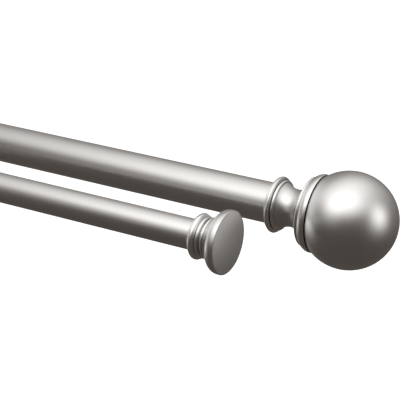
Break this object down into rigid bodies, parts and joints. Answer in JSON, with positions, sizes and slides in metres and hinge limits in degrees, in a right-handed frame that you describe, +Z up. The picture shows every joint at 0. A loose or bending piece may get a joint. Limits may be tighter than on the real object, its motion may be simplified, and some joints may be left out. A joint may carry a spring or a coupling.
{
  "type": "double curtain rod with brackets",
  "caption": "Double telescoping curtain rod with a ball finial front rod and a capped back rod, held on wall brackets with open cups and thumbscrews.",
  "frame": {"origin": "centre of the four wall screw holes, on the face of the wall", "axes": "+X along the rods, away from the pictured end; +Y into the wall, the room is towards -Y; +Z up"},
  "size_m": [1.223, 0.1819, 0.1002],
  "materials": {
    "nickel_tube": "satin",
    "nickel_finial": "satin",
    "nickel_cap": "satin, face lightly brushed",
    "nickel_bracket": "satin",
    "nickel_knob": "satin, fluted",
    "plated_steel": "zinc plated",
    "nylon": "moulded"
  },
  "bodies": {
    "brackets": {"left_wall_plate": "nickel_bracket", "left_arm": "nickel_bracket", "left_front_cup": "nickel_bracket", "left_back_cup": "nickel_bracket", "right_wall_plate": "nickel_bracket", "right_arm": "nickel_bracket", "right_front_cup": "nickel_bracket", "right_back_cup": "nickel_bracket", "arm_screws": "plated_steel", "cup_screws": "plated_steel"},
    "front_rod": {"front_outer_tube": "nickel_tube", "left_tube_plug": "nylon"},
    "front_slider": {"front_inner_tube": "nickel_tube", "front_glide": "nylon", "right_tube_plug": "nylon"},
    "back_rod": {"back_outer_tube": "nickel_tube"},
    "back_slider": {"back_inner_tube": "nickel_tube", "back_glide": "nylon"},
    "left_finial_screw": {"left_finial_stud": "plated_steel"},
    "left_finial": {"left_finial_neck": "nickel_finial", "left_finial_ball": "nickel_finial", "left_finial_nut": "plated_steel"},
    "right_finial_screw": {"right_finial_stud": "plated_steel"},
    "right_finial": {"right_finial_neck": "nickel_finial", "right_finial_ball": "nickel_finial", "right_finial_nut": "plated_steel"},
    "left_end_cap": {"left_cap": "nickel_cap", "left_cap_sleeve": "nylon"},
    "right_end_cap": {"right_cap": "nickel_cap", "right_cap_sleeve": "nylon"},
    "left_front_thumbscrew": {"left_front_stud": "plated_steel"},
    "left_front_thumbscrew_knob": {"left_front_knob": "nickel_knob"},
    "left_back_thumbscrew": {"left_back_stud": "plated_steel"},
    "left_back_thumbscrew_knob": {"left_back_knob": "nickel_knob"},
    "right_front_thumbscrew": {"right_front_stud": "plated_steel"},
    "right_front_thumbscrew_knob": {"right_front_knob": "nickel_knob"},
    "right_back_thumbscrew": {"right_back_stud": "plated_steel"},
    "right_back_thumbscrew_knob": {"right_back_knob": "nickel_knob"}
  },
  "joints": [
    {"name": "front_rod_lift", "type": "slide", "parent": "brackets", "child": "front_rod", "axis": [0, 0, 1], "range_m": [0, 0.06]},
    {"name": "back_rod_lift", "type": "slide", "parent": "brackets", "child": "back_rod", "axis": [0, 0, 1], "range_m": [0, 0.06]},
    {"name": "front_telescope", "type": "slide", "parent": "front_rod", "child": "front_slider", "axis": [1, 0, 0], "range_m": [-0.149, 0.612]},
    {"name": "back_telescope", "type": "slide", "parent": "back_rod", "child": "back_slider", "axis": [1, 0, 0], "range_m": [-0.149, 0.584]},
    {"name": "left_finial_travel", "type": "slide", "parent": "front_rod", "child": "left_finial_screw", "axis": [-1, 0, 0], "range_m": [0, 0.012]},
    {"name": "left_finial_turn", "type": "hinge", "parent": "left_finial_screw", "child": "left_finial", "pos_m": [-0.5327, -0.1524, 0.02675], "axis": [-1, 0, 0], "range_deg": [0, 2880]},
    {"name": "right_finial_travel", "type": "slide", "parent": "front_slider", "child": "right_finial_screw", "axis": [1, 0, 0], "range_m": [0, 0.012]},
    {"name": "right_finial_turn", "type": "hinge", "parent": "right_finial_screw", "child": "right_finial", "pos_m": [0.5327, -0.1524, 0.02675], "axis": [1, 0, 0], "range_deg": [0, 2880]},
    {"name": "left_cap_pull", "type": "slide", "parent": "back_rod", "child": "left_end_cap", "axis": [-1, 0, 0], "range_m": [0, 0.02]},
    {"name": "right_cap_pull", "type": "slide", "parent": "back_slider", "child": "right_end_cap", "axis": [1, 0, 0], "range_m": [0, 0.02]},
    {"name": "left_front_thumbscrew_travel", "type": "slide", "parent": "brackets", "child": "left_front_thumbscrew", "axis": [0, 1, 0], "range_m": [0, 0.0021]},
    {"name": "left_front_thumbscrew_turn", "type": "hinge", "parent": "left_front_thumbscrew", "child": "left_front_thumbscrew_knob", "pos_m": [-0.292, -0.1524, 0.02675], "axis": [0, 1, 0], "range_deg": [0, 1080]},
    {"name": "left_back_thumbscrew_travel", "type": "slide", "parent": "brackets", "child": "left_back_thumbscrew", "axis": [0, 1, 0], "range_m": [0, 0.0021]},
    {"name": "left_back_thumbscrew_turn", "type": "hinge", "parent": "left_back_thumbscrew", "child": "left_back_thumbscrew_knob", "pos_m": [-0.292, -0.0889, 0.02675], "axis": [0, 1, 0], "range_deg": [0, 1080]},
    {"name": "right_front_thumbscrew_travel", "type": "slide", "parent": "brackets", "child": "right_front_thumbscrew", "axis": [0, 1, 0], "range_m": [0, 0.0021]},
    {"name": "right_front_thumbscrew_turn", "type": "hinge", "parent": "right_front_thumbscrew", "child": "right_front_thumbscrew_knob", "pos_m": [0.292, -0.1524, 0.02675], "axis": [0, 1, 0], "range_deg": [0, 1080]},
    {"name": "right_back_thumbscrew_travel", "type": "slide", "parent": "brackets", "child": "right_back_thumbscrew", "axis": [0, 1, 0], "range_m": [0, 0.0021]},
    {"name": "right_back_thumbscrew_turn", "type": "hinge", "parent": "right_back_thumbscrew", "child": "right_back_thumbscrew_knob", "pos_m": [0.292, -0.0889, 0.02675], "axis": [0, 1, 0], "range_deg": [0, 1080]}
  ],
  "couplings": [
    {"joint": "left_finial_turn", "follows": "left_finial_travel", "rad_per_m": 4188.8},
    {"joint": "right_finial_turn", "follows": "right_finial_travel", "rad_per_m": 4188.8},
    {"joint": "left_front_thumbscrew_turn", "follows": "left_front_thumbscrew_travel", "rad_per_m": 8976},
    {"joint": "left_back_thumbscrew_turn", "follows": "left_back_thumbscrew_travel", "rad_per_m": 8976},
    {"joint": "right_front_thumbscrew_turn", "follows": "right_front_thumbscrew_travel", "rad_per_m": 8976},
    {"joint": "right_back_thumbscrew_turn", "follows": "right_back_thumbscrew_travel", "rad_per_m": 8976}
  ]
}
